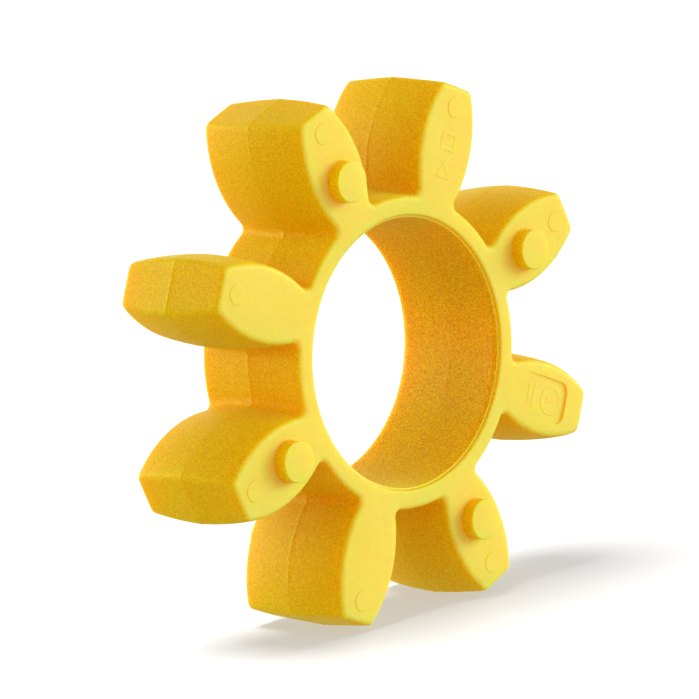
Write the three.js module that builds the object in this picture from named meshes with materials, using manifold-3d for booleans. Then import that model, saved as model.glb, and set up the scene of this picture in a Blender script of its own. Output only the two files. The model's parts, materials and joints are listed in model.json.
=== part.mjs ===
// Elastomer spider of a jaw coupling: one moulding, a thin ring with eight crowned teeth.
// Millimetres. +Y runs along the coupling axis, +Z is up, the origin is the centre of the ring.
import * as THREE from 'three';
import Module from 'manifold-3d';

const TEETH = 8;
const PITCH = (2 * Math.PI) / TEETH;
const FIRST_TOOTH = PITCH / 2; // angle of the first tooth, from +X towards +Z

// Thickness and mould draft
const HALF_THICKNESS = 6.7; // parting plane to each tooth face
const TIP_DRAFT = 0.35; // loss of radius from the parting plane to a face, at a tooth tip
const VALLEY_DRAFT = 0.385; // the same between two teeth
const FLANK_CROWN = 0.72; // loss of flank from the parting plane to a face
const CROWN_LINEAR = 0.16; // share of that crown that grows evenly, the rest with the square
const EDGE_ROUND = 0.51; // rounding round the outline of each face
const CORNER_SHRINK = 0.6; // how much of that rounding the tip corners lose
const FILLET_GROWTH = 0.5; // how much of it the root fillets gain

// Tooth outline at the parting plane
const TIP_FLAT_RADIUS = 27.43; // axis to the flat end of a tooth
const TIP_CORNER = 0.78; // rounding between the flat end and a flank
const FLANK_RADIUS = 13.13;
const FLANK_BEYOND = 8.75; // flank arc centre, past the tooth's own centre line
const FLANK_CENTRE_RADIUS = 20.94; // flank arc centre, measured along the tooth
const VALLEY_RADIUS = 15.87; // outside of the ring between two teeth
const ROOT_FILLET = 0.75;

// Bore
const RIM_RADIUS = 13.57; // mouth of the bore, down to a small ledge
const RIM_DEPTH = 0.33; // each face to its ledge
const RIM_ROUND = 0.28; // rounding between a face and the mouth
const WALL_RADIUS = 13.37; // wall beside the ledge
const WAIST_RADIUS = 13.28; // wall at the parting plane

// Spacer knobs, alternately on the front and the back
const KNOB_RADIUS = 2.02;
const KNOB_HEIGHT = 1.5;
const KNOB_CIRCLE = 19.62;
const KNOB_BASE = 0.3; // flare where a knob meets the tooth
const KNOB_EDGE = 0.12;

// Ejector pads and the mark pocket, on the front
const PAD_RADIUS = 1;
const PAD_HEIGHT = 0.08;
const PAD_CIRCLE = 24.95;
const POCKET_TOOTH = TEETH - 1;
const POCKET_LENGTH = 7; // along the tooth
const POCKET_WIDTH = 4.4;
const POCKET_CENTRE = 20.8;
const POCKET_DEPTH = 0.25; // at its outer end
const POCKET_SHALLOW = 0.06; // depth at its inner end
const POCKET_CORNER = 1.2;

// Facets
const CORNER_STEPS = 3;
const FLANK_STEPS = 6;
const FILLET_STEPS = 3;
const VALLEY_STEPS = 2;
const CROWN_STEPS = 3;
const ROUND_STEPS = 2;
const RIM_STEPS = 2;
const POCKET_STEPS = 4;
const BORE_FACETS = 72;
const KNOB_FACETS = 24;
const SUNK = 1; // how far an added feature reaches into the body
const SAME_PLACE = 1e-5; // corners are rounded to this, so that neighbouring faces share them

const { Manifold, Mesh } = await prepared();

async function prepared() {
  const wasm = await Module();
  wasm.setup();
  return wasm;
}

// ---- outline of half a tooth pitch, as (sideways, outwards) from the tip to the valley ----

function arc(centre, radius, from, to, steps) {
  const points = [];
  for (let i = 0; i < steps; i++) {
    const a = from + ((to - from) * i) / steps;
    points.push(new THREE.Vector2(centre.x + radius * Math.cos(a), centre.y + radius * Math.sin(a)));
  }
  return points;
}

// Centre of the fillet that touches both the flank arc and the ring.
function filletCentre(flankCentre, flankRadius, valleyRadius, fillet) {
  const toFlank = flankCentre.length();
  const fromAxis = valleyRadius + fillet;
  const fromFlank = flankRadius + fillet;
  const along = (fromAxis ** 2 - fromFlank ** 2 + toFlank ** 2) / (2 * toFlank);
  const across = Math.sqrt(fromAxis ** 2 - along ** 2);
  const unit = flankCentre.clone().divideScalar(toFlank);
  return new THREE.Vector2(unit.y, -unit.x).multiplyScalar(across).addScaledVector(unit, along);
}

function halfPitch({ tip, corner, flank, valley, fillet }) {
  const flankCentre = new THREE.Vector2(-FLANK_BEYOND, FLANK_CENTRE_RADIUS);
  const cornerRise = tip - corner - FLANK_CENTRE_RADIUS;
  const cornerRun = Math.sqrt((flank - corner) ** 2 - cornerRise ** 2);
  const cornerCentre = new THREE.Vector2(cornerRun - FLANK_BEYOND, tip - corner);
  const root = filletCentre(flankCentre, flank, valley, fillet);
  const flankFrom = Math.atan2(cornerRise, cornerRun);
  const rootSeen = root.clone().sub(flankCentre).angle();
  const flankTo = rootSeen > Math.PI ? rootSeen - 2 * Math.PI : rootSeen;
  const filletFrom = flankTo + Math.PI;
  const filletTo = root.angle() + Math.PI;
  const valleyFrom = root.angle();
  const valleyTo = Math.PI / 2 - PITCH / 2;
  const axis = new THREE.Vector2(0, 0);
  return [
    new THREE.Vector2(0, tip),
    ...arc(cornerCentre, corner, Math.PI / 2, flankFrom, CORNER_STEPS),
    ...arc(flankCentre, flank, flankFrom, flankTo, FLANK_STEPS),
    ...arc(root, fillet, filletFrom, filletTo, FILLET_STEPS),
    ...arc(axis, valley, valleyFrom, valleyTo, VALLEY_STEPS),
    new THREE.Vector2(valley * Math.cos(valleyTo), valley * Math.sin(valleyTo)),
  ];
}

// Closed outline at height y along the axis, pulled in by inset where a face is rounded off.
function outline(y, inset) {
  const q = Math.abs(y) / HALF_THICKNESS;
  const crown = FLANK_CROWN * (CROWN_LINEAR * q + (1 - CROWN_LINEAR) * q * q);
  const half = halfPitch({
    tip: TIP_FLAT_RADIUS - TIP_DRAFT * q - inset,
    corner: TIP_CORNER - CORNER_SHRINK * inset,
    flank: FLANK_RADIUS - crown - inset,
    valley: VALLEY_RADIUS - VALLEY_DRAFT * q - inset,
    fillet: ROOT_FILLET + FILLET_GROWTH * inset,
  });
  const back = half.slice(1, -1).map((p) => new THREE.Vector2(-p.x, p.y));
  const tooth = [...half.slice().reverse(), ...back];
  const points = [];
  for (let n = 0; n < TEETH; n++) {
    const turn = FIRST_TOOTH + n * PITCH - Math.PI / 2;
    for (const p of tooth) {
      points.push(p.clone().rotateAround(new THREE.Vector2(0, 0), turn));
    }
  }
  return points.map((p) => new THREE.Vector3(p.x, y, p.y));
}

// ---- closed bodies ----

function stations() {
  const straight = HALF_THICKNESS - EDGE_ROUND;
  const half = [];
  for (let i = 1; i <= CROWN_STEPS; i++) {
    half.push({ y: (straight * i) / CROWN_STEPS, inset: 0 });
  }
  for (let i = 1; i <= ROUND_STEPS; i++) {
    const a = ((Math.PI / 2) * i) / ROUND_STEPS;
    half.push({ y: straight + EDGE_ROUND * Math.sin(a), inset: EDGE_ROUND * (1 - Math.cos(a)) });
  }
  const front = half.map(({ y, inset }) => ({ y: -y, inset })).reverse();
  return [...front, { y: 0, inset: 0 }, ...half];
}

// Skins a stack of outlines that hold the same number of points, and closes both ends.
function loft(rings) {
  const count = rings[0].length;
  const positions = rings.flat().flatMap((p) => p.toArray());
  const index = [];
  for (let r = 0; r + 1 < rings.length; r++) {
    for (let i = 0; i < count; i++) {
      const j = (i + 1) % count;
      const low = r * count;
      const high = low + count;
      index.push(low + i, high + i, low + j);
      index.push(low + j, high + i, high + j);
    }
  }
  const last = (rings.length - 1) * count;
  const flat = rings[0].map((p) => new THREE.Vector2(p.x, p.z));
  for (const [a, b, c] of THREE.ShapeUtils.triangulateShape(flat, [])) {
    index.push(a, b, c);
  }
  const flatBack = rings[rings.length - 1].map((p) => new THREE.Vector2(p.x, p.z));
  for (const [a, b, c] of THREE.ShapeUtils.triangulateShape(flatBack, [])) {
    index.push(last + a, last + c, last + b);
  }
  return solid(positions, index);
}

function solid(positions, index) {
  const mesh = new Mesh({
    numProp: 3,
    vertProperties: new Float32Array(positions),
    triVerts: new Uint32Array(index),
  });
  mesh.merge();
  return new Manifold(mesh);
}

// Solid of revolution about Y, from (radius, y) pairs listed from the low end to the high end.
function turned(pairs, facets) {
  const points = [new THREE.Vector2(0, pairs[0][1])];
  points.push(...pairs.map(([r, y]) => new THREE.Vector2(r, y)));
  points.push(new THREE.Vector2(0, pairs[pairs.length - 1][1]));
  return fromGeometry(new THREE.LatheGeometry(points, facets));
}

function fromGeometry(geometry) {
  const flat = geometry.index ? geometry.toNonIndexed() : geometry;
  const rounded = (v) => Math.round(v / SAME_PLACE) * SAME_PLACE;
  const positions = Array.from(flat.attributes.position.array, rounded);
  const corners = new Map();
  const kept = [];
  const index = [];
  for (let i = 0; i < positions.length; i += 3) {
    const corner = positions.slice(i, i + 3);
    const key = corner.join();
    if (!corners.has(key)) {
      corners.set(key, corners.size);
      kept.push(...corner);
    }
    index.push(corners.get(key));
  }
  const faces = [];
  for (let i = 0; i < index.length; i += 3) {
    const [a, b, c] = index.slice(i, i + 3);
    if (a !== b && b !== c && c !== a) {
      faces.push(a, b, c);
    }
  }
  return solid(kept, faces);
}

// Stands a feature modelled about Y, rising towards +Y from y = 0, on one face of a tooth.
function onTooth(feature, tooth, radius, side) {
  const angle = FIRST_TOOTH + tooth * PITCH;
  const turnedOver = side < 0 ? feature.rotate([180, 0, 0]) : feature;
  const place = [radius * Math.cos(angle), side * HALF_THICKNESS, radius * Math.sin(angle)];
  return turnedOver.translate(place);
}

function knob() {
  const top = KNOB_HEIGHT;
  const profile = [
    [KNOB_RADIUS + KNOB_BASE, -SUNK],
    [KNOB_RADIUS + KNOB_BASE, 0],
    [KNOB_RADIUS, KNOB_BASE],
    [KNOB_RADIUS, top - KNOB_EDGE],
    [KNOB_RADIUS - KNOB_EDGE, top],
  ];
  return turned(profile, KNOB_FACETS);
}

function pad() {
  return turned([[PAD_RADIUS, -SUNK], [PAD_RADIUS, PAD_HEIGHT]], KNOB_FACETS);
}

// The bore as a solid: a rounded mouth and a ledge at each face, and a wall that narrows to the middle.
function boreCutter() {
  const over = HALF_THICKNESS + SUNK;
  const step = HALF_THICKNESS - RIM_DEPTH;
  const mouth = [[RIM_RADIUS + RIM_ROUND, -over]];
  for (let i = 0; i <= RIM_STEPS; i++) {
    const a = ((Math.PI / 2) * i) / RIM_STEPS;
    const radius = RIM_RADIUS + RIM_ROUND * (1 - Math.sin(a));
    mouth.push([radius, RIM_ROUND * (1 - Math.cos(a)) - HALF_THICKNESS]);
  }
  mouth.push([RIM_RADIUS, -step], [WALL_RADIUS, -step]);
  const otherMouth = mouth.map(([radius, y]) => [radius, -y]).reverse();
  return turned([...mouth, [WAIST_RADIUS, 0], ...otherMouth], BORE_FACETS);
}

// Shallow rounded pocket in the front face of one tooth, deeper outwards.
function pocketCutter() {
  const halfLength = POCKET_LENGTH / 2 - POCKET_CORNER;
  const halfWidth = POCKET_WIDTH / 2 - POCKET_CORNER;
  const shape = new THREE.Shape();
  shape.absarc(halfLength, halfWidth, POCKET_CORNER, 0, Math.PI / 2);
  shape.absarc(-halfLength, halfWidth, POCKET_CORNER, Math.PI / 2, Math.PI);
  shape.absarc(-halfLength, -halfWidth, POCKET_CORNER, Math.PI, 1.5 * Math.PI);
  shape.absarc(halfLength, -halfWidth, POCKET_CORNER, 1.5 * Math.PI, 2 * Math.PI);
  const depth = POCKET_DEPTH + SUNK;
  const block = new THREE.ExtrudeGeometry(shape, {
    depth,
    bevelEnabled: false,
    curveSegments: POCKET_STEPS,
  });
  const angle = FIRST_TOOTH + POCKET_TOOTH * PITCH;
  block.rotateX(Math.PI / 2);
  block.rotateZ(Math.atan2(POCKET_DEPTH - POCKET_SHALLOW, POCKET_LENGTH));
  block.translate(POCKET_CENTRE, (POCKET_DEPTH + POCKET_SHALLOW) / 2 - HALF_THICKNESS, 0);
  block.rotateY(-angle);
  return fromGeometry(block);
}

function spider() {
  const rings = stations().map(({ y, inset }) => outline(y, inset));
  let body = loft(rings).subtract(boreCutter()).subtract(pocketCutter());
  for (let n = 0; n < TEETH; n++) {
    const knobSide = n % 2 === 0 ? -1 : 1;
    body = body.add(onTooth(knob(), n, KNOB_CIRCLE, knobSide));
    if (n !== POCKET_TOOTH) {
      body = body.add(onTooth(pad(), n, PAD_CIRCLE, -1));
    }
  }
  return body;
}

function geometryOf(body) {
  const mesh = body.getMesh();
  const geometry = new THREE.BufferGeometry();
  const positions = new Float32Array(mesh.numVert * 3);
  for (let i = 0; i < mesh.numVert; i++) {
    positions.set(mesh.vertProperties.subarray(i * mesh.numProp, i * mesh.numProp + 3), i * 3);
  }
  geometry.setAttribute('position', new THREE.BufferAttribute(positions, 3));
  geometry.setIndex(new THREE.BufferAttribute(new Uint32Array(mesh.triVerts), 1));
  geometry.computeVertexNormals();
  return geometry;
}

const polyurethane = new THREE.MeshStandardMaterial({ color: 0xe8b92e, roughness: 0.55 });
polyurethane.name = 'polyurethane_yellow';

const elastomer = new THREE.Mesh(geometryOf(spider()), polyurethane);
elastomer.name = 'elastomer_spider';

const part = new THREE.Group();
part.name = 'jaw_coupling_spider';
part.add(elastomer);

export default part;
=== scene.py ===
import json
import math

import bpy
import numpy as np
from mathutils import Matrix, Vector
from mathutils.geometry import delaunay_2d_cdt

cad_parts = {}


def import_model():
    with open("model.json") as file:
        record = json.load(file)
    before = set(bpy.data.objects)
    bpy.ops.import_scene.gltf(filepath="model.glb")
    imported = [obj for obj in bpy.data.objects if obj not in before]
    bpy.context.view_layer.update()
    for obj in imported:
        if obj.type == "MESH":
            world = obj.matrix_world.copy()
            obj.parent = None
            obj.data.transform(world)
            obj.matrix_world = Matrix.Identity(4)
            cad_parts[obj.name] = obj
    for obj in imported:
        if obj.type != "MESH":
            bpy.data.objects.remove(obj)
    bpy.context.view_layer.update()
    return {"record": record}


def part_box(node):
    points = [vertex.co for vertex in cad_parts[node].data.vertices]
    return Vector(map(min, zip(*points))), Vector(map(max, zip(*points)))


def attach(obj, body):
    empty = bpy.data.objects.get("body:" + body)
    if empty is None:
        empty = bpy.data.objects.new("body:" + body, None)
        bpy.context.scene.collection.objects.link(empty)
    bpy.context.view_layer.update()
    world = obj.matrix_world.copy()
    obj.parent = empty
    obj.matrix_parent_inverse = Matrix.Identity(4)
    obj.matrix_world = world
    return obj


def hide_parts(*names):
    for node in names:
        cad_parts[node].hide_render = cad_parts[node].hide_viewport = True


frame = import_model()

MM = 0.001
NODE = "elastomer_spider"
MOUNTS = {m["name"]: m["pos_m"] for m in frame["record"]["mounts"]}

# ---- dimensions, in millimetres, at the parting plane where a size is drafted ----

TEETH = 8
PITCH = 2 * math.pi / TEETH
FIRST_TOOTH = PITCH / 2

KNOB_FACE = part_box(NODE)[1].y / MM
KNOB_CIRCLE = math.hypot(MOUNTS["knob_face_front"][0], MOUNTS["knob_face_front"][2]) / MM
KNOB_HEIGHT = 1.5
KNOB_RADIUS = 2.02
KNOB_FILLET = 0.34
KNOB_EDGE = 0.12
KNOB_BELT = 0.6  # height of the ring of points on its wall, against KNOB_HEIGHT

HALF_THICKNESS = KNOB_FACE - KNOB_HEIGHT
TIP_DRAFT = 0.35
VALLEY_DRAFT = 0.385
FLANK_CROWN = 0.72
CROWN_LINEAR = 0.16
EDGE_ROUND = 0.51
CORNER_SHRINK = 0.6
FILLET_GROWTH = 0.5
FLASH_HEIGHT = 0.018
FLASH_HALF_WIDTH = 0.055
BORE_FLASH = 0.006

TIP_FLAT_RADIUS = 27.43
TIP_CORNER = 0.78
TIP_BOW = 0.02
FLANK_RADIUS = 13.13
FLANK_BEYOND = 8.75
FLANK_CENTRE_RADIUS = 20.94
VALLEY_RADIUS = 15.87
ROOT_FILLET = 0.75

RIM_RADIUS = 13.57
RIM_DEPTH = 0.33
RIM_ROUND = 0.28
LEDGE_EDGE = 0.03
LEDGE_BREAK = 0.8  # share of that edge above its first step
WALL_RADIUS = 13.37
WAIST_RADIUS = 13.28

PAD_RADIUS = 1.0
PAD_FOOT = 0.05
PAD_LEAN = 0.04
PAD_EDGE = 0.03
PAD_HEIGHT = 0.08
PAD_CIRCLE = 24.95
POCKET_TOOTH = TEETH - 1
POCKET_LENGTH = 7.0
POCKET_WIDTH = 4.4
POCKET_CENTRE = 20.8
POCKET_DEPTH = 0.25
POCKET_SHALLOW = 0.06
POCKET_CORNER = 1.2
POCKET_LEAN = 0.05
POCKET_EDGE = 0.04

MARK_TOOTH = 1
MARK_HEIGHT = 0.05
MARK_STROKE = 0.3
MARK_CORNER = 0.12
MARK_LEAN = 0.03
MARK_EDGE = 0.02
HOLLOW_CORNER = 0.6  # corners of a hollow, against those round it
LEAN_BELOW_EDGE = 0.6  # share of a low wall's lean below its broken edge
EDGE_BREAK = 0.3  # share of that edge above its first step
SQUARE_CENTRE = 21.45
SQUARE_WIDTH = 2.2
SQUARE_LENGTH = 1.9
TRIANGLE_BASE = 17.75
TRIANGLE_TIP = 19.6
TRIANGLE_WIDTH = 2.3
TRIANGLE_HOLLOW = 0.52
DIAL_CENTRE = 22.0
DIAL_RADIUS = 1.55
DIAL_STROKE = 0.26
POINTER_BASE = 21.35
POINTER_TIP = 22.85
POINTER_WIDTH = 0.84
POINTER_CORNER = 0.08
BAR_CENTRES = (19.3, 18.5)
BAR_WIDTHS = (2.6, 1.9)
BAR_STROKE = 0.34
BAR_CORNER = 0.1

# ---- mesh density ----

TIP_STEPS = 6
CORNER_STEPS = 6
FLANK_STEPS = 26
FILLET_STEPS = 8
VALLEY_STEPS = 7
CROWN_STEPS = 16
ROUND_STEPS = 6
BORE_POINTS = 288
BORE_STEPS = 20
KNOB_POINTS = 72
KNOB_FILLET_STEPS = 5
KNOB_EDGE_STEPS = 3
PAD_POINTS = 48
DIAL_POINTS = 56
MARK_CORNER_STEPS = 5
POCKET_CORNER_STEPS = 8
FACE_GRID = 0.62
GRID_ROWS = 0.866  # between the rows of the face grid, against its spacing
GRID_CLEARANCE = 0.55  # from the grid to an edge, against its spacing
GUARD = 0.015  # width of the flat band beside an edge
SAME_PLACE = 1e-6


# ---- outline of the star, as in the CAD, finer ----

def arc(centre, radius, start, stop, steps):
    angles = start + (stop - start) * np.arange(steps) / steps
    return np.column_stack([centre[0] + radius * np.cos(angles), centre[1] + radius * np.sin(angles)])


def half_pitch(tip, corner, flank, valley, fillet):
    """Half a tooth pitch as (sideways, outwards), from mid tip to mid valley."""
    flank_centre = np.array([-FLANK_BEYOND, FLANK_CENTRE_RADIUS])
    rise = tip - corner - FLANK_CENTRE_RADIUS
    run = math.sqrt((flank - corner) ** 2 - rise ** 2)
    corner_centre = np.array([run - FLANK_BEYOND, tip - corner])

    to_flank = math.hypot(*flank_centre)
    along = ((valley + fillet) ** 2 - (flank + fillet) ** 2 + to_flank ** 2) / (2 * to_flank)
    across = math.sqrt((valley + fillet) ** 2 - along ** 2)
    unit = flank_centre / to_flank
    root = unit * along + np.array([unit[1], -unit[0]]) * across

    flank_start = math.atan2(rise, run)
    flank_stop = math.atan2(root[1] - flank_centre[1], root[0] - flank_centre[0])
    root_angle = math.atan2(root[1], root[0])
    across_tip = np.arange(TIP_STEPS) / TIP_STEPS
    tip_line = np.column_stack([across_tip * corner_centre[0], tip + TIP_BOW * (1 - across_tip ** 2)])
    valley_stop = math.pi / 2 - PITCH / 2
    last = [[valley * math.cos(valley_stop), valley * math.sin(valley_stop)]]
    return np.concatenate([
        tip_line,
        arc(corner_centre, corner, math.pi / 2, flank_start, CORNER_STEPS),
        arc(flank_centre, flank, flank_start, flank_stop, FLANK_STEPS),
        arc(root, fillet, flank_stop + math.pi, root_angle + math.pi, FILLET_STEPS),
        arc((0, 0), valley, root_angle, valley_stop, VALLEY_STEPS),
        last,
    ])


def to_tooth(points, tooth):
    """(sideways, outwards) points of a tooth, as (x, z)."""
    angle = FIRST_TOOTH + tooth * PITCH
    out = np.array([math.cos(angle), math.sin(angle)])
    side = np.array([math.sin(angle), -math.cos(angle)])
    points = np.asarray(points, float)
    return points[:, :1] * side + points[:, 1:] * out


def outline(y, inset):
    """Closed outline at y, anticlockwise in (x, z), pulled in by inset."""
    away = abs(y) / HALF_THICKNESS
    crown = FLANK_CROWN * (CROWN_LINEAR * away + (1 - CROWN_LINEAR) * away * away)
    half = half_pitch(
        tip=TIP_FLAT_RADIUS - TIP_DRAFT * away - inset,
        corner=TIP_CORNER - CORNER_SHRINK * max(inset, 0),
        flank=FLANK_RADIUS - crown - inset,
        valley=VALLEY_RADIUS - VALLEY_DRAFT * away - inset,
        fillet=ROOT_FILLET + FILLET_GROWTH * max(inset, 0),
    )
    mirrored = half[1:-1] * [-1, 1]
    tooth = np.concatenate([half[::-1], mirrored])
    return np.concatenate([to_tooth(tooth, n) for n in range(TEETH)])


def stations():
    """(y, inset) from the front face to the back face."""
    straight = HALF_THICKNESS - EDGE_ROUND
    half = [(FLASH_HALF_WIDTH, 0)]
    for i in range(1, CROWN_STEPS + 1):
        half.append((FLASH_HALF_WIDTH + (straight - FLASH_HALF_WIDTH) * i / CROWN_STEPS, 0))
    for i in range(1, ROUND_STEPS + 1):
        angle = math.pi / 2 * i / ROUND_STEPS
        half.append((straight + EDGE_ROUND * math.sin(angle), EDGE_ROUND * (1 - math.cos(angle))))
    half.append((HALF_THICKNESS, EDGE_ROUND + GUARD))
    front = [(-y, inset) for y, inset in reversed(half)]
    return front + [(0, -FLASH_HEIGHT)] + half


# ---- mesh building ----

class Skin:
    """Vertices and faces of one closed mesh, in millimetres."""

    def __init__(self):
        self.points = []
        self.faces = []

    def loop(self, flat, y):
        """Adds (x, z) points at one y, or at a y for each."""
        start = len(self.points)
        heights = np.broadcast_to(y, len(flat))
        self.points += [(x, height, z) for (x, z), height in zip(flat, heights)]
        return list(range(start, len(self.points)))

    def bridge(self, a, b):
        for i in range(len(a)):
            j = (i + 1) % len(a)
            self.faces.append((a[i], a[j], b[j], b[i]))

    def flat(self, loops, level, spacing, front):
        """Fills the first loop less the others with even triangles; level gives y at (x, z) points."""
        rims = [np.array([self.points[i] for i in loop])[:, [0, 2]] for loop in loops]
        inner = grid_points(rims, spacing)
        known = [i for loop in loops for i in loop]
        flat = [Vector(p) for p in np.concatenate([*rims, inner])]
        known += self.loop(inner, level(inner))
        edges = []
        start = 0
        for rim in rims:
            n = len(rim)
            edges += [(start + i, start + (i + 1) % n) for i in range(n)]
            start += n
        made, _, triangles, origins, _, _ = delaunay_2d_cdt(flat, edges, [], 0, SAME_PLACE)
        if any(len(o) != 1 for o in origins):
            raise ValueError("two loops touch")
        corners = np.array([[made[i] for i in t] for t in triangles])
        keep = inside(rims[0], corners.mean(1))
        for hole in rims[1:]:
            keep &= ~inside(hole, corners.mean(1))
        for t, wanted in zip(triangles, keep):
            if not wanted:
                continue
            a, b, c = (known[origins[i][0]] for i in t)
            area = np.cross(*(np.subtract(self.points[k], self.points[a])[[0, 2]] for k in (b, c)))
            self.faces.append((a, b, c) if (area > 0) == front else (a, c, b))


def inside(rim, points):
    """Which points lie inside a closed rim, by counting crossings."""
    x, z = points.T
    found = np.zeros(len(points), bool)
    for (x0, z0), (x1, z1) in zip(rim, np.roll(rim, -1, axis=0)):
        if z0 == z1:
            continue
        crosses = (z0 > z) != (z1 > z)
        found ^= crosses & (x < x0 + (z - z0) * (x1 - x0) / (z1 - z0))
    return found


def grid_points(rims, spacing):
    """Staggered points that lie in the first rim, clear of every rim."""
    low = rims[0].min(0)
    high = rims[0].max(0)
    rows = []
    for n, z in enumerate(np.arange(low[1], high[1], spacing * GRID_ROWS)):
        xs = np.arange(low[0] + (n % 2) * spacing / 2, high[0], spacing)
        rows.append(np.column_stack([xs, np.full(len(xs), z)]))
    points = np.concatenate(rows)
    keep = inside(rims[0], points)
    for hole in rims[1:]:
        keep &= ~inside(hole, points)
    points = points[keep]
    for rim in rims:
        nearest = np.full(len(points), np.inf)
        for a in rim:
            nearest = np.minimum(nearest, np.hypot(*(points - a).T))
        points = points[nearest > GRID_CLEARANCE * spacing]
    return points


def moved_in(flat, inset):
    """A loop moved towards its inside, along its own normals."""
    ahead = np.roll(flat, -1, axis=0) - np.roll(flat, 1, axis=0)
    ahead /= np.linalg.norm(ahead, axis=1)[:, None]
    return flat + inset * np.column_stack([-ahead[:, 1], ahead[:, 0]])


class Feature:
    """A raised or sunk shape: an anticlockwise (x, z) loop, its (inset, rise) steps and shapes on its top.

    share gives how much of the rise there is at (x, z) points.
    """

    def __init__(self, flat, steps, inner=(), share=lambda points: 1.0):
        self.flat = flat
        self.steps = steps
        self.inner = inner
        self.share = share


def face(skin, rim, level, side, features, spacing, openings=()):
    """A stretch inside rim with features on it, between any openings.

    level gives y at (x, z) points, and side is -1 on the front and 1 on the back. A narrow band goes round
    the foot and the top of each feature, so that smooth shading stays on its edges.
    """
    bases = []
    for feature in features:
        foot = moved_in(feature.flat, -GUARD)
        bases.append(skin.loop(foot, level(foot)))
    skin.flat([rim, *bases, *openings], level, spacing, front=side < 0)
    for feature, base in zip(features, bases):
        below = base
        last_inset, last_rise = feature.steps[-1]
        for inset, rise in [(0, 0), *feature.steps, (last_inset + GUARD, last_rise)]:
            flat = moved_in(feature.flat, inset)
            above = skin.loop(flat, level(flat) + side * rise * feature.share(flat))
            if side > 0:
                skin.bridge(above, below)
            else:
                skin.bridge(below, above)
            below = above
        face(skin, below, raised(level, side * last_rise, feature.share), side, feature.inner, spacing)


def even(y):
    return lambda points: np.full(len(points), float(y))


def raised(level, rise, share):
    return lambda points: level(points) + rise * share(points)


# ---- features ----

def circle(centre, radius, count):
    angles = 2 * np.pi * np.arange(count) / count
    return np.asarray(centre) + radius * np.column_stack([np.cos(angles), np.sin(angles)])


def rounded(corners, radius, steps=MARK_CORNER_STEPS):
    """Anticlockwise polygon in (x, z) with rounded corners."""
    corners = np.asarray(corners, float)
    points = []
    for before, here, after in zip(np.roll(corners, 1, 0), corners, np.roll(corners, -1, 0)):
        to_before = (before - here) / np.linalg.norm(before - here)
        to_after = (after - here) / np.linalg.norm(after - here)
        half = math.acos(np.clip(to_before @ to_after, -1, 1)) / 2
        middle = to_before + to_after
        centre = here + middle / np.linalg.norm(middle) * radius / math.sin(half)
        start = here + to_before * radius / math.tan(half)
        stop = here + to_after * radius / math.tan(half)
        first = math.atan2(*(start - centre)[::-1])
        turn = (math.atan2(*(stop - centre)[::-1]) - first + math.pi) % (2 * math.pi) - math.pi
        for step in range(steps + 1):
            angle = first + turn * step / steps
            points.append(centre + radius * np.array([math.cos(angle), math.sin(angle)]))
    return np.array(points)


def on_tooth(tooth, outwards):
    """The (x, z) point on a tooth's middle line, outwards from the axis."""
    return to_tooth([(0.0, outwards)], tooth)[0]


def spacer_knob(tooth):
    """Cylinder with a fillet at its foot and a small round at its top."""
    steps = []
    for i in range(1, KNOB_FILLET_STEPS + 1):
        angle = math.pi / 2 * i / KNOB_FILLET_STEPS
        steps.append((KNOB_FILLET * math.sin(angle), KNOB_FILLET * (1 - math.cos(angle))))
    steps.append((KNOB_FILLET, KNOB_HEIGHT * KNOB_BELT))
    for i in range(KNOB_EDGE_STEPS + 1):
        angle = math.pi / 2 * i / KNOB_EDGE_STEPS
        rise = KNOB_HEIGHT - KNOB_EDGE * (1 - math.sin(angle))
        steps.append((KNOB_FILLET + KNOB_EDGE * (1 - math.cos(angle)), rise))
    return Feature(circle(on_tooth(tooth, KNOB_CIRCLE), KNOB_RADIUS + KNOB_FILLET, KNOB_POINTS), steps)


def low_steps(rise, lean, edge):
    """A short wall that leans in by lean, with its edge broken in two steps."""
    sign = math.copysign(1, rise)
    return [
        (lean * LEAN_BELOW_EDGE, rise - sign * edge),
        (lean, rise - sign * edge * EDGE_BREAK),
        (lean + edge, rise),
    ]


def ejector_pad(tooth):
    foot = circle(on_tooth(tooth, PAD_CIRCLE), PAD_RADIUS + PAD_FOOT, PAD_POINTS)
    return Feature(foot, low_steps(PAD_HEIGHT, PAD_LEAN, PAD_EDGE))


def mark(loop, rise, inner=()):
    """A raised mark, or with a negative rise the hollow in one."""
    return Feature(loop, low_steps(rise, MARK_LEAN, MARK_EDGE), inner)


def polygon_mark(tooth, corners, corner_radius, hollow=None):
    inner = []
    if hollow is not None:
        hollow_loop = rounded(anticlockwise(tooth, hollow), corner_radius * HOLLOW_CORNER)
        inner = [mark(hollow_loop, -MARK_HEIGHT)]
    return mark(rounded(anticlockwise(tooth, corners), corner_radius), MARK_HEIGHT, inner)


def anticlockwise(tooth, corners):
    """(sideways, outwards) corners on a tooth, as (x, z), turned to run anticlockwise."""
    flat = to_tooth(corners, tooth)
    area = np.sum(flat[:, 0] * np.roll(flat[:, 1], -1) - flat[:, 1] * np.roll(flat[:, 0], -1))
    return flat if area > 0 else flat[::-1]


def box_corners(out_centre, width, length):
    half_width = width / 2
    half_length = length / 2
    return [
        (-half_width, out_centre - half_length),
        (half_width, out_centre - half_length),
        (half_width, out_centre + half_length),
        (-half_width, out_centre + half_length),
    ]


def triangle_corners(base, tip, width):
    return [(-width / 2, base), (width / 2, base), (0, tip)]


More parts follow.
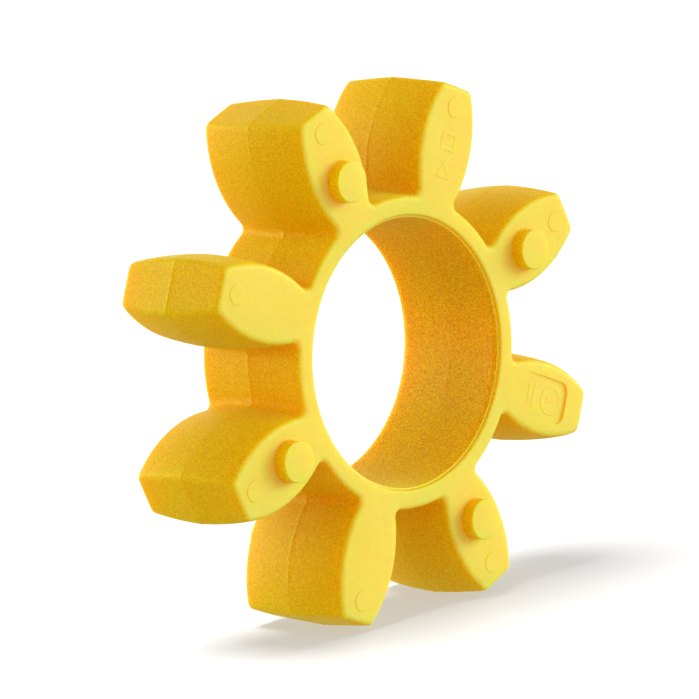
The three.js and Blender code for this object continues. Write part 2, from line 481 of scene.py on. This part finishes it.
def tooth_marks(tooth):
    """A raised square outline and a raised triangle outline."""
    outer = box_corners(SQUARE_CENTRE, SQUARE_WIDTH, SQUARE_LENGTH)
    inner = box_corners(SQUARE_CENTRE, SQUARE_WIDTH - 2 * MARK_STROKE, SQUARE_LENGTH - 2 * MARK_STROKE)
    big = triangle_corners(TRIANGLE_BASE, TRIANGLE_TIP, TRIANGLE_WIDTH)
    centre = np.mean(big, axis=0)
    small = [tuple(centre + (np.array(p) - centre) * TRIANGLE_HOLLOW) for p in big]
    return [
        polygon_mark(tooth, outer, MARK_CORNER, hollow=inner),
        polygon_mark(tooth, big, MARK_CORNER, hollow=small),
    ]


def dial(tooth):
    """A raised ring with a raised pointer inside it."""
    centre = on_tooth(tooth, DIAL_CENTRE)
    pointer = triangle_corners(POINTER_BASE, POINTER_TIP, POINTER_WIDTH)
    arrow = polygon_mark(tooth, pointer, POINTER_CORNER)
    hole = mark(circle(centre, DIAL_RADIUS - DIAL_STROKE, DIAL_POINTS), -MARK_HEIGHT, [arrow])
    return mark(circle(centre, DIAL_RADIUS, DIAL_POINTS), MARK_HEIGHT, [hole])


def pocket(tooth):
    """A shallow pocket, deeper outwards, with a mould dial and two bars on its floor."""
    bars = [
        polygon_mark(tooth, box_corners(centre, width, BAR_STROKE), BAR_CORNER)
        for centre, width in zip(BAR_CENTRES, BAR_WIDTHS)
    ]
    rim = box_corners(POCKET_CENTRE, POCKET_WIDTH, POCKET_LENGTH)
    loop = rounded(anticlockwise(tooth, rim), POCKET_CORNER, POCKET_CORNER_STEPS)
    outwards = on_tooth(tooth, 1.0)
    inner_end = POCKET_CENTRE - POCKET_LENGTH / 2

    def share(points):
        along = (points @ outwards - inner_end) / POCKET_LENGTH
        return (POCKET_SHALLOW + (POCKET_DEPTH - POCKET_SHALLOW) * along) / POCKET_DEPTH

    return Feature(loop, low_steps(-POCKET_DEPTH, POCKET_LEAN, POCKET_EDGE), [dial(tooth), *bars], share)


def bore_stations():
    """(radius, y) down the bore from the front face to the back face."""
    ledge = HALF_THICKNESS - RIM_DEPTH
    front = [(RIM_RADIUS + RIM_ROUND + GUARD, -HALF_THICKNESS)]
    for i in range(ROUND_STEPS + 1):
        angle = math.pi / 2 * i / ROUND_STEPS
        radius = RIM_RADIUS + RIM_ROUND * (1 - math.sin(angle))
        front.append((radius, RIM_ROUND * (1 - math.cos(angle)) - HALF_THICKNESS))
    front.append((RIM_RADIUS - LEDGE_EDGE * (1 - LEDGE_BREAK), -ledge - LEDGE_EDGE * LEDGE_BREAK))
    front.append((RIM_RADIUS - LEDGE_EDGE, -ledge))
    front.append((WALL_RADIUS + LEDGE_EDGE, -ledge))
    front.append((WALL_RADIUS, -ledge + LEDGE_EDGE))
    for y in np.linspace(-ledge + LEDGE_EDGE, -FLASH_HALF_WIDTH, BORE_STEPS // 2)[1:]:
        front.append((WAIST_RADIUS + (WALL_RADIUS - WAIST_RADIUS) * abs(y) / ledge, y))
    back = [(r, -y) for r, y in reversed(front)]
    return front + [(WAIST_RADIUS - BORE_FLASH, 0)] + back


# ---- the spider ----

def spider_mesh():
    skin = Skin()
    rows = [skin.loop(outline(y, inset), y) for y, inset in stations()]
    for low, high in zip(rows, rows[1:]):
        skin.bridge(high, low)
    bore = [skin.loop(circle((0, 0), r, BORE_POINTS), y) for r, y in bore_stations()]
    for low, high in zip(bore, bore[1:]):
        skin.bridge(low, high)
    front = []
    back = []
    for tooth in range(TEETH):
        knob_side = front if tooth % 2 == 0 else back
        knob_side.append(spacer_knob(tooth))
        if tooth != POCKET_TOOTH:
            front.append(ejector_pad(tooth))
    front += tooth_marks(MARK_TOOTH)
    front.append(pocket(POCKET_TOOTH))
    face(skin, rows[0], even(-HALF_THICKNESS), -1, front, FACE_GRID, [bore[0]])
    face(skin, rows[-1], even(HALF_THICKNESS), 1, back, FACE_GRID, [bore[-1]])

    mesh = bpy.data.meshes.new("spider_moulding")
    mesh.from_pydata([tuple(c * MM for c in p) for p in skin.points], [], skin.faces)
    mesh.validate()
    mesh.shade_smooth()
    return mesh


# ---- material ----

# Lit and shaded copies of one yellow: the end faces get the paler lit one, and the sides a more orange one
# that is painted shade. Each pair varies at random.
LIT_END_YELLOWS = ((0.885, 0.745, 0.150), (0.895, 0.765, 0.170))
SHADED_SIDE_YELLOWS = ((0.905, 0.645, 0.0005), (0.915, 0.670, 0.001))
# Painted shade in the grain's pits.
PIT_SHADE_COLOUR = (0.760, 0.455, 0.0005)
# Painted highlight on the grain's glints.
PAINTED_GLINT_COLOUR = (0.985, 0.790, 0.015)

# The y of a normal up to which a surface has the looks of a side, with the shaded yellows, and from which
# those of an end face, with the lit yellows.
SIDE_NORMAL = 0.45
END_NORMAL = 0.9

# Sizes of the noises in millimetres, and the stretches of their values that are used.
CLOUD_SIZE = 9.0
CLOUD_RANGE = (0.35, 0.65)
SWAY_SIZE = 7.0
PEEL_SIZE = 1.6
GRAIN_SIZE = 0.2
GRAIN_RANGE = (0.3, 0.7)
PIT_SHADE_RANGE = (0.58, 0.34)
PAINTED_GLINT_RANGE = (0.55, 0.72)

# How much painted pit shade and painted glints colour the flanks and the bore, and what every surface has
# besides.
PAINTED_SPECKS_ON_FLANKS = 0.55
PAINTED_SPECKS_IN_BORE = 1.0
PAINTED_SPECKS_EVERYWHERE = 0.1

# Height in millimetres and strength of each bump. The grain is stronger on the sides.
SWAY_BUMP = (0.25, 0.35)
PEEL_BUMP = (0.03, 0.5)
GRAIN_HEIGHT = 0.1
GRAIN_EVERYWHERE = 0.18
GRAIN_ON_SIDES = 0.8

ROUGHNESS_RANGE = (0.44, 0.58)
POLYURETHANE = {
    "Subsurface Weight": 0.88,
    "Subsurface Radius": (1.0, 0.16, 0.025),
    "Subsurface Scale": 7.0 * MM,
    "IOR": 1.46,
    "Specular IOR Level": 0.22,
    "Sheen Weight": 0.12,
    "Sheen Roughness": 0.4,
    "Sheen Tint": (1.0, 0.95, 0.75, 1),
}


class Nodes:
    """Short calls for wiring a node tree."""

    def __init__(self, tree):
        self.tree = tree

    def add(self, kind, **values):
        node = self.tree.nodes.new(kind)
        for name, value in values.items():
            setattr(node, name, value)
        return node

    def link(self, source, target):
        self.tree.links.new(source, target)

    def maths(self, operation, a, b=None):
        node = self.add("ShaderNodeMath", operation=operation)
        for socket, value in zip(node.inputs, (a, b)):
            if value is None:
                continue
            if isinstance(value, (int, float)):
                socket.default_value = value
            else:
                self.link(value, socket)
        return node.outputs[0]

    def noise(self, vector, size_mm, detail, roughness=0.5):
        node = self.add("ShaderNodeTexNoise")
        node.inputs["Scale"].default_value = 1 / (size_mm * MM)
        node.inputs["Detail"].default_value = detail
        node.inputs["Roughness"].default_value = roughness
        self.link(vector, node.inputs["Vector"])
        return node.outputs["Fac"]

    def ramp(self, value, low, high, to_low, to_high):
        node = self.add("ShaderNodeMapRange")
        ends = {"From Min": low, "From Max": high, "To Min": to_low, "To Max": to_high}
        for name, number in ends.items():
            node.inputs[name].default_value = number
        self.link(value, node.inputs["Value"])
        return node.outputs["Result"]

    def mix(self, factor, a, b):
        node = self.add("ShaderNodeMix", data_type="RGBA")
        self.link(factor, node.inputs["Factor"])
        for name, value in (("A", a), ("B", b)):
            socket = next(s for s in node.inputs if s.name == name and s.type == "RGBA")
            if isinstance(value, tuple):
                socket.default_value = (*value, 1)
            else:
                self.link(value, socket)
        return next(s for s in node.outputs if s.type == "RGBA")

    def bump(self, height, distance_mm, strength, normal=None):
        node = self.add("ShaderNodeBump")
        node.inputs["Distance"].default_value = distance_mm * MM
        self.link(height, node.inputs["Height"])
        if isinstance(strength, (int, float)):
            node.inputs["Strength"].default_value = strength
        else:
            self.link(strength, node.inputs["Strength"])
        if normal is not None:
            self.link(normal, node.inputs["Normal"])
        return node.outputs["Normal"]


def polyurethane():
    material = bpy.data.materials.new("polyurethane_moulded")
    material.use_nodes = True
    material.node_tree.nodes.clear()
    nodes = Nodes(material.node_tree)
    place = nodes.add("ShaderNodeTexCoord")
    position = place.outputs["Object"]
    normal_xyz = nodes.add("ShaderNodeSeparateXYZ")
    nodes.link(place.outputs["Normal"], normal_xyz.inputs[0])
    facing_end = nodes.maths("ABSOLUTE", normal_xyz.outputs["Y"])
    sides = nodes.ramp(facing_end, SIDE_NORMAL, END_NORMAL, 1.0, 0.0)
    place_xyz = nodes.add("ShaderNodeSeparateXYZ")
    nodes.link(position, place_xyz.inputs[0])
    x_squared, z_squared = (
        nodes.maths("MULTIPLY", place_xyz.outputs[axis], place_xyz.outputs[axis]) for axis in ("X", "Z")
    )
    from_axis = nodes.maths("SQRT", nodes.maths("ADD", x_squared, z_squared))
    in_bore = nodes.ramp(from_axis, WALL_RADIUS * MM, RIM_RADIUS * MM, 1.0, 0.0)

    grain = nodes.noise(position, GRAIN_SIZE, detail=3, roughness=0.6)
    peel = nodes.noise(position, PEEL_SIZE, detail=2)
    sway = nodes.noise(position, SWAY_SIZE, detail=1)
    cloud = nodes.ramp(nodes.noise(position, CLOUD_SIZE, detail=3), *CLOUD_RANGE, 0, 1)

    # Painted shade: the sides take the more orange shaded yellow, and the end faces the lit one.
    colour = nodes.mix(sides, nodes.mix(cloud, *LIT_END_YELLOWS), nodes.mix(cloud, *SHADED_SIDE_YELLOWS))
    # Share of painted pit shade and painted glints: most in the bore, less on the flanks, and a little
    # everywhere.
    painted_speck_share = nodes.maths("MULTIPLY", sides, nodes.ramp(in_bore, 0, 1, PAINTED_SPECKS_ON_FLANKS, PAINTED_SPECKS_IN_BORE))
    painted_speck_share = nodes.maths("ADD", painted_speck_share, PAINTED_SPECKS_EVERYWHERE)
    # Painted shade: the pits in the grain are coloured darker, as if shaded.
    painted_pit_shade = nodes.maths("MULTIPLY", nodes.ramp(grain, *PIT_SHADE_RANGE, 0, 1), painted_speck_share)
    # Painted highlights: the glints in the grain are coloured brighter.
    painted_glints = nodes.maths("MULTIPLY", nodes.ramp(grain, *PAINTED_GLINT_RANGE, 0, 1), painted_speck_share)
    colour = nodes.mix(painted_pit_shade, colour, PIT_SHADE_COLOUR)
    colour = nodes.mix(painted_glints, colour, PAINTED_GLINT_COLOUR)

    grain_strength = nodes.maths("ADD", nodes.maths("MULTIPLY", sides, GRAIN_ON_SIDES), GRAIN_EVERYWHERE)
    normal = nodes.bump(sway, *SWAY_BUMP)
    normal = nodes.bump(peel, *PEEL_BUMP, normal)
    normal = nodes.bump(grain, GRAIN_HEIGHT, grain_strength, normal)

    shader = nodes.add("ShaderNodeBsdfPrincipled")
    shader.subsurface_method = "RANDOM_WALK"
    for name, value in POLYURETHANE.items():
        shader.inputs[name].default_value = value
    nodes.link(colour, shader.inputs["Base Color"])
    nodes.link(nodes.ramp(grain, *GRAIN_RANGE, *ROUGHNESS_RANGE), shader.inputs["Roughness"])
    nodes.link(normal, shader.inputs["Normal"])
    out = nodes.add("ShaderNodeOutputMaterial")
    nodes.link(shader.outputs[0], out.inputs["Surface"])
    return material


# ---- stage ----

WHITE = (1, 1, 1, 1)
FLOOR_REACH = 6.0  # metres from the middle to each side
FLOOR = {
    "Base Color": (0.3, 0.3, 0.3, 1),
    "Roughness": 0.6,
    "Specular IOR Level": 0.2,
    "Emission Color": WHITE,
    "Emission Strength": 0.34,
}
BACKDROP_STRENGTH = 0.43

# Camera angles are in degrees, its place and clips in metres, its lens and sensor in millimetres.
CAMERA_YAW = 45.972
CAMERA_PITCH = 8.729
CAMERA_ROLL = -4.894
CAMERA_DISTANCE = 0.5186
CAMERA_RIGHT = -0.00102
CAMERA_UP = 0.00003
FOCAL_LENGTH = 268.75
SENSOR_WIDTH = 36
CLIP_START = 0.01
CLIP_END = 50


def floor():
    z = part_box(NODE)[0].z
    corners = [
        (-FLOOR_REACH, -FLOOR_REACH, z),
        (FLOOR_REACH, -FLOOR_REACH, z),
        (FLOOR_REACH, FLOOR_REACH, z),
        (-FLOOR_REACH, FLOOR_REACH, z),
    ]
    mesh = bpy.data.meshes.new("floor")
    mesh.from_pydata(corners, [], [(0, 1, 2, 3)])
    plane = bpy.data.objects.new("floor", mesh)
    bpy.context.scene.collection.objects.link(plane)
    material = bpy.data.materials.new("pale_floor")
    material.use_nodes = True
    shader = material.node_tree.nodes["Principled BSDF"]
    for name, value in FLOOR.items():
        shader.inputs[name].default_value = value
    mesh.materials.append(material)
    plane.visible_diffuse = False
    plane.visible_glossy = False
    return plane


def sun(name, azimuth, elevation, level, spread):
    """A soft light from far away. Azimuth runs from +X towards +Y; at level 1 white looks white.

    Azimuth, elevation and spread are in degrees.
    """
    around = math.radians(azimuth)
    height = math.radians(elevation)
    direction = Vector((
        math.cos(around) * math.cos(height),
        math.sin(around) * math.cos(height),
        math.sin(height),
    ))
    light = bpy.data.lights.new(name, "SUN")
    light.energy = math.pi * level
    light.angle = math.radians(spread)
    holder = bpy.data.objects.new(name, light)
    holder.rotation_euler = direction.to_track_quat("Z", "Y").to_euler()
    bpy.context.scene.collection.objects.link(holder)
    return holder


def light_only(holder, target):
    """Keeps a light to one object, which the others still shade."""
    chosen = bpy.data.collections.new(holder.name + "_lights")
    chosen.objects.link(target)
    holder.light_linking.receiver_collection = chosen


def camera():
    """Faces the origin from CAMERA_DISTANCE, then moves by CAMERA_RIGHT and CAMERA_UP without turning."""
    yaw = math.radians(CAMERA_YAW)
    pitch = math.radians(CAMERA_PITCH)
    roll = math.radians(CAMERA_ROLL)
    forward = Vector((
        math.sin(yaw) * math.cos(pitch),
        math.cos(yaw) * math.cos(pitch),
        -math.sin(pitch),
    ))
    level = Vector((math.cos(yaw), -math.sin(yaw), 0))
    upright = level.cross(forward)
    right = level * math.cos(roll) + upright * math.sin(roll)
    up = upright * math.cos(roll) - level * math.sin(roll)
    place = right * CAMERA_RIGHT + up * CAMERA_UP - forward * CAMERA_DISTANCE
    turn = Matrix((right, up, -forward)).transposed().to_4x4()
    data = bpy.data.cameras.new("camera")
    data.lens = FOCAL_LENGTH
    data.sensor_width = SENSOR_WIDTH
    data.clip_start = CLIP_START
    data.clip_end = CLIP_END
    holder = bpy.data.objects.new("camera", data)
    holder.matrix_world = Matrix.Translation(place) @ turn
    bpy.context.scene.collection.objects.link(holder)
    bpy.context.scene.camera = holder


def world():
    backdrop = bpy.data.worlds.new("studio")
    backdrop.use_nodes = True
    background = backdrop.node_tree.nodes["Background"]
    background.inputs["Color"].default_value = WHITE
    background.inputs["Strength"].default_value = BACKDROP_STRENGTH
    bpy.context.scene.world = backdrop


bpy.context.scene.view_settings.view_transform = "Standard"
bpy.context.scene.view_settings.look = "High Contrast"
world()
camera()
ground = floor()

moulding = bpy.data.objects.new("spider_moulding", spider_mesh())
bpy.context.scene.collection.objects.link(moulding)
moulding.data.materials.append(polyurethane())
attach(moulding, "root")
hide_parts(NODE)

for light in (
    sun("key", 323, 10, 0.35, 40),
    sun("front", 289, 10, 0.15, 40),
    sun("left", 172, 10, 0.11, 40),
    sun("back", 97, 8, 0.38, 12),
    sun("back_right", 60, 10, 0.09, 40),
):
    light_only(light, moulding)
light_only(sun("overhead", 150, 74, 1.1, 32), ground)
